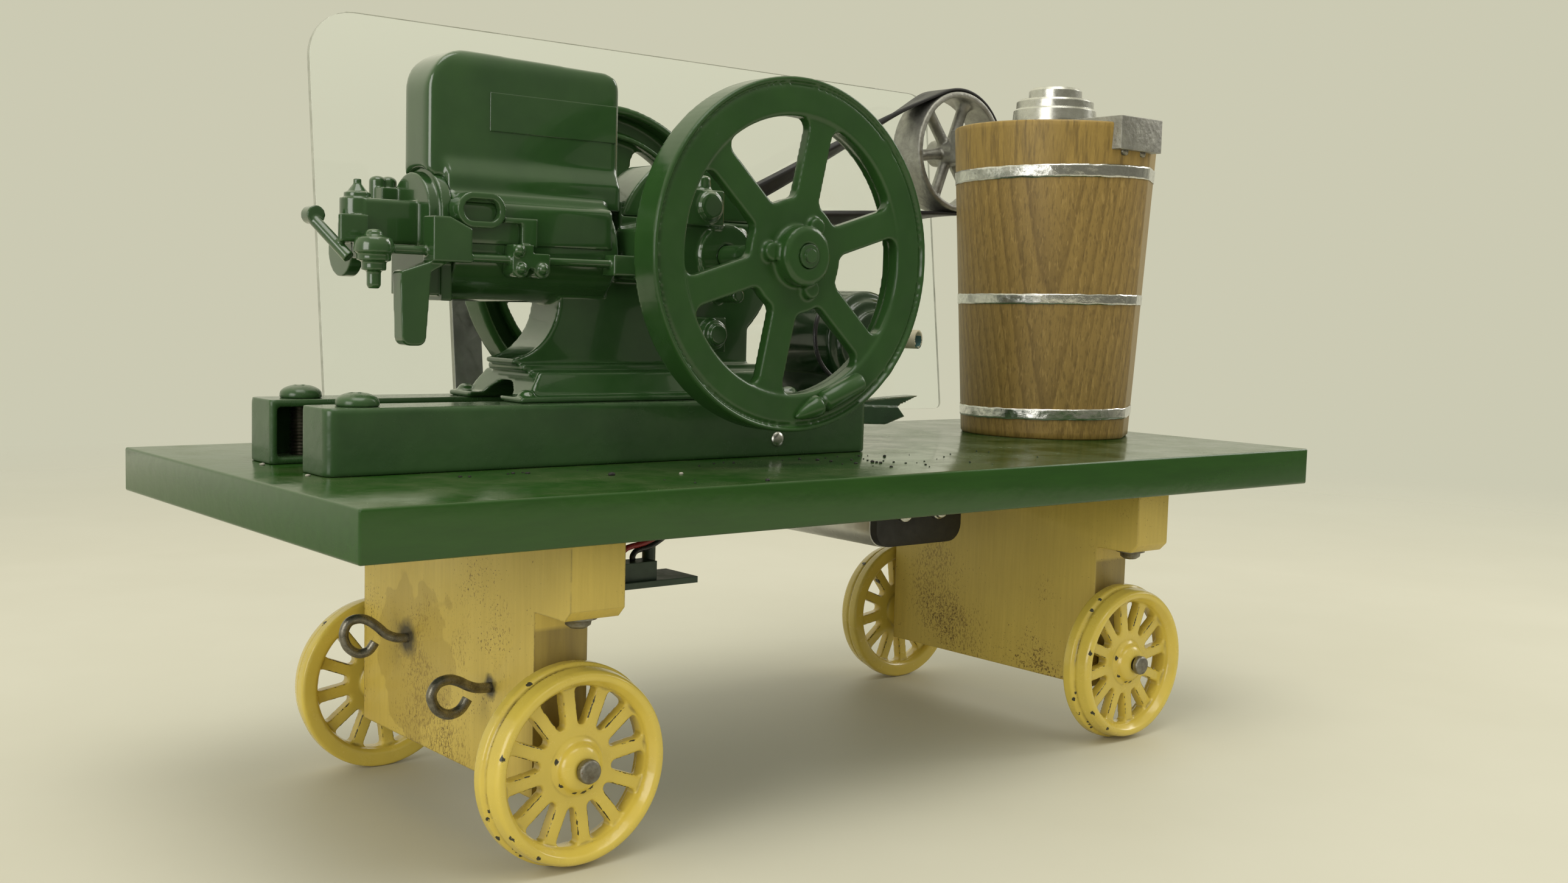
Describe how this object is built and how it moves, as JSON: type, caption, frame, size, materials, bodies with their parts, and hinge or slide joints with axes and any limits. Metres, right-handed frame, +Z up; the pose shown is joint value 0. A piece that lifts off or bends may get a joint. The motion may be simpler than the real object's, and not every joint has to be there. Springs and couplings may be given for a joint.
{
  "type": "toy hit-and-miss engine with ice cream freezer",
  "caption": "Toy hit-and-miss engine with flywheels and hopper, crossed belt to a wooden ice cream freezer, on a painted deck with spoked truck wheels and a clear guard.",
  "frame": {"origin": "on the ground under the middle of the whole toy's length and depth", "axes": "+X along the deck from the cylinder head to the freezer, +Y from the near side to the guard, +Z up"},
  "size_m": [0.297, 0.139, 0.192],
  "materials": {
    "engine_enamel": "glossy enamel with small chips",
    "skid_enamel": "thick glossy enamel",
    "deck_paint": "painted board, satin",
    "truck_paint": "yellow wash with dark specks",
    "wheel_enamel": "glossy enamel, chipped",
    "screw_steel": "rough",
    "hook_steel": "dark",
    "battery_shell": "satin",
    "bright_metal": "polished",
    "switch_plastic": "satin",
    "wire_cover": "glossy",
    "clear_acrylic": "clear",
    "post_metal": "satin",
    "motor_enamel": "glossy enamel",
    "sleeve_plastic": "satin",
    "clip_metal": "glossy",
    "belt_rubber": "satin",
    "grey_casting": "satin",
    "tub_wood": "varnished, upright grain",
    "hoop_foil": "crinkled foil"
  },
  "bodies": {
    "stand_and_engine": {"deck": "deck_paint", "front_beam": "truck_paint", "front_board": "truck_paint", "rear_beam": "truck_paint", "rear_board": "truck_paint", "axle_screws": "screw_steel", "tow_hooks": "hook_steel", "battery_box": "battery_shell", "battery_snaps": "bright_metal", "switch_board": "switch_plastic", "switch_wires": "wire_cover", "near_skid": "skid_enamel", "far_skid": "skid_enamel", "skid_screws": "skid_enamel", "engine_base": "engine_enamel", "base_bolts": "engine_enamel", "near_crankcase": "engine_enamel", "far_crankcase": "engine_enamel", "barrel": "engine_enamel", "water_hopper": "engine_enamel", "cylinder_head": "engine_enamel", "valve_chest": "engine_enamel", "mixer": "engine_enamel", "rocker_lever": "engine_enamel", "trip_blade": "engine_enamel", "rod_bracket": "engine_enamel", "push_rod": "engine_enamel", "governor_latch": "engine_enamel", "exhaust_stub": "engine_enamel", "near_bearing": "engine_enamel", "far_bearing": "engine_enamel", "grease_cups": "engine_enamel", "magneto": "engine_enamel", "crank_hood": "engine_enamel", "belt": "belt_rubber", "tub": "tub_wood", "tub_hoops": "hoop_foil", "tub_lid": "tub_wood", "gear_frame": "grey_casting", "gear_cap": "bright_metal", "guard": "clear_acrylic", "guard_posts": "post_metal", "motor": "motor_enamel", "motor_saddle": "motor_enamel", "motor_lead": "wire_cover", "lead_sleeve": "sleeve_plastic", "lead_clip": "clip_metal"},
    "crank": {"crankshaft": "engine_enamel", "near_flywheel": "engine_enamel", "starting_handle": "engine_enamel", "far_flywheel": "engine_enamel", "drive_pulley": "grey_casting"},
    "churn": {"churn_pulley": "grey_casting", "churn_shaft": "grey_casting"},
    "front_near_wheel": {"front_near_wheel": "wheel_enamel"},
    "front_far_wheel": {"front_far_wheel": "wheel_enamel"},
    "rear_near_wheel": {"rear_near_wheel": "wheel_enamel"},
    "rear_far_wheel": {"rear_far_wheel": "wheel_enamel"}
  },
  "joints": [
    {"name": "crank_spin", "type": "hinge", "parent": "stand_and_engine", "child": "crank", "pos_m": [-0.0291, -0.00186, 0.1305], "axis": [0, 1, 0], "continuous": true},
    {"name": "churn_spin", "type": "hinge", "parent": "stand_and_engine", "child": "churn", "pos_m": [0.1144, 0.04914, 0.1709], "axis": [0, 1, 0], "continuous": true},
    {"name": "front_near_wheel_spin", "type": "hinge", "parent": "stand_and_engine", "child": "front_near_wheel", "pos_m": [-0.092, -0.05196, 0.0217], "axis": [0, 1, 0], "continuous": true},
    {"name": "front_far_wheel_spin", "type": "hinge", "parent": "stand_and_engine", "child": "front_far_wheel", "pos_m": [-0.092, 0.04104, 0.0217], "axis": [0, 1, 0], "continuous": true},
    {"name": "rear_near_wheel_spin", "type": "hinge", "parent": "stand_and_engine", "child": "rear_near_wheel", "pos_m": [0.0895, -0.05196, 0.0217], "axis": [0, 1, 0], "continuous": true},
    {"name": "rear_far_wheel_spin", "type": "hinge", "parent": "stand_and_engine", "child": "rear_far_wheel", "pos_m": [0.0895, 0.04104, 0.0217], "axis": [0, 1, 0], "continuous": true}
  ],
  "couplings": [
    {"joint": "churn_spin", "follows": "crank_spin", "ratio": -0.40816}
  ]
}
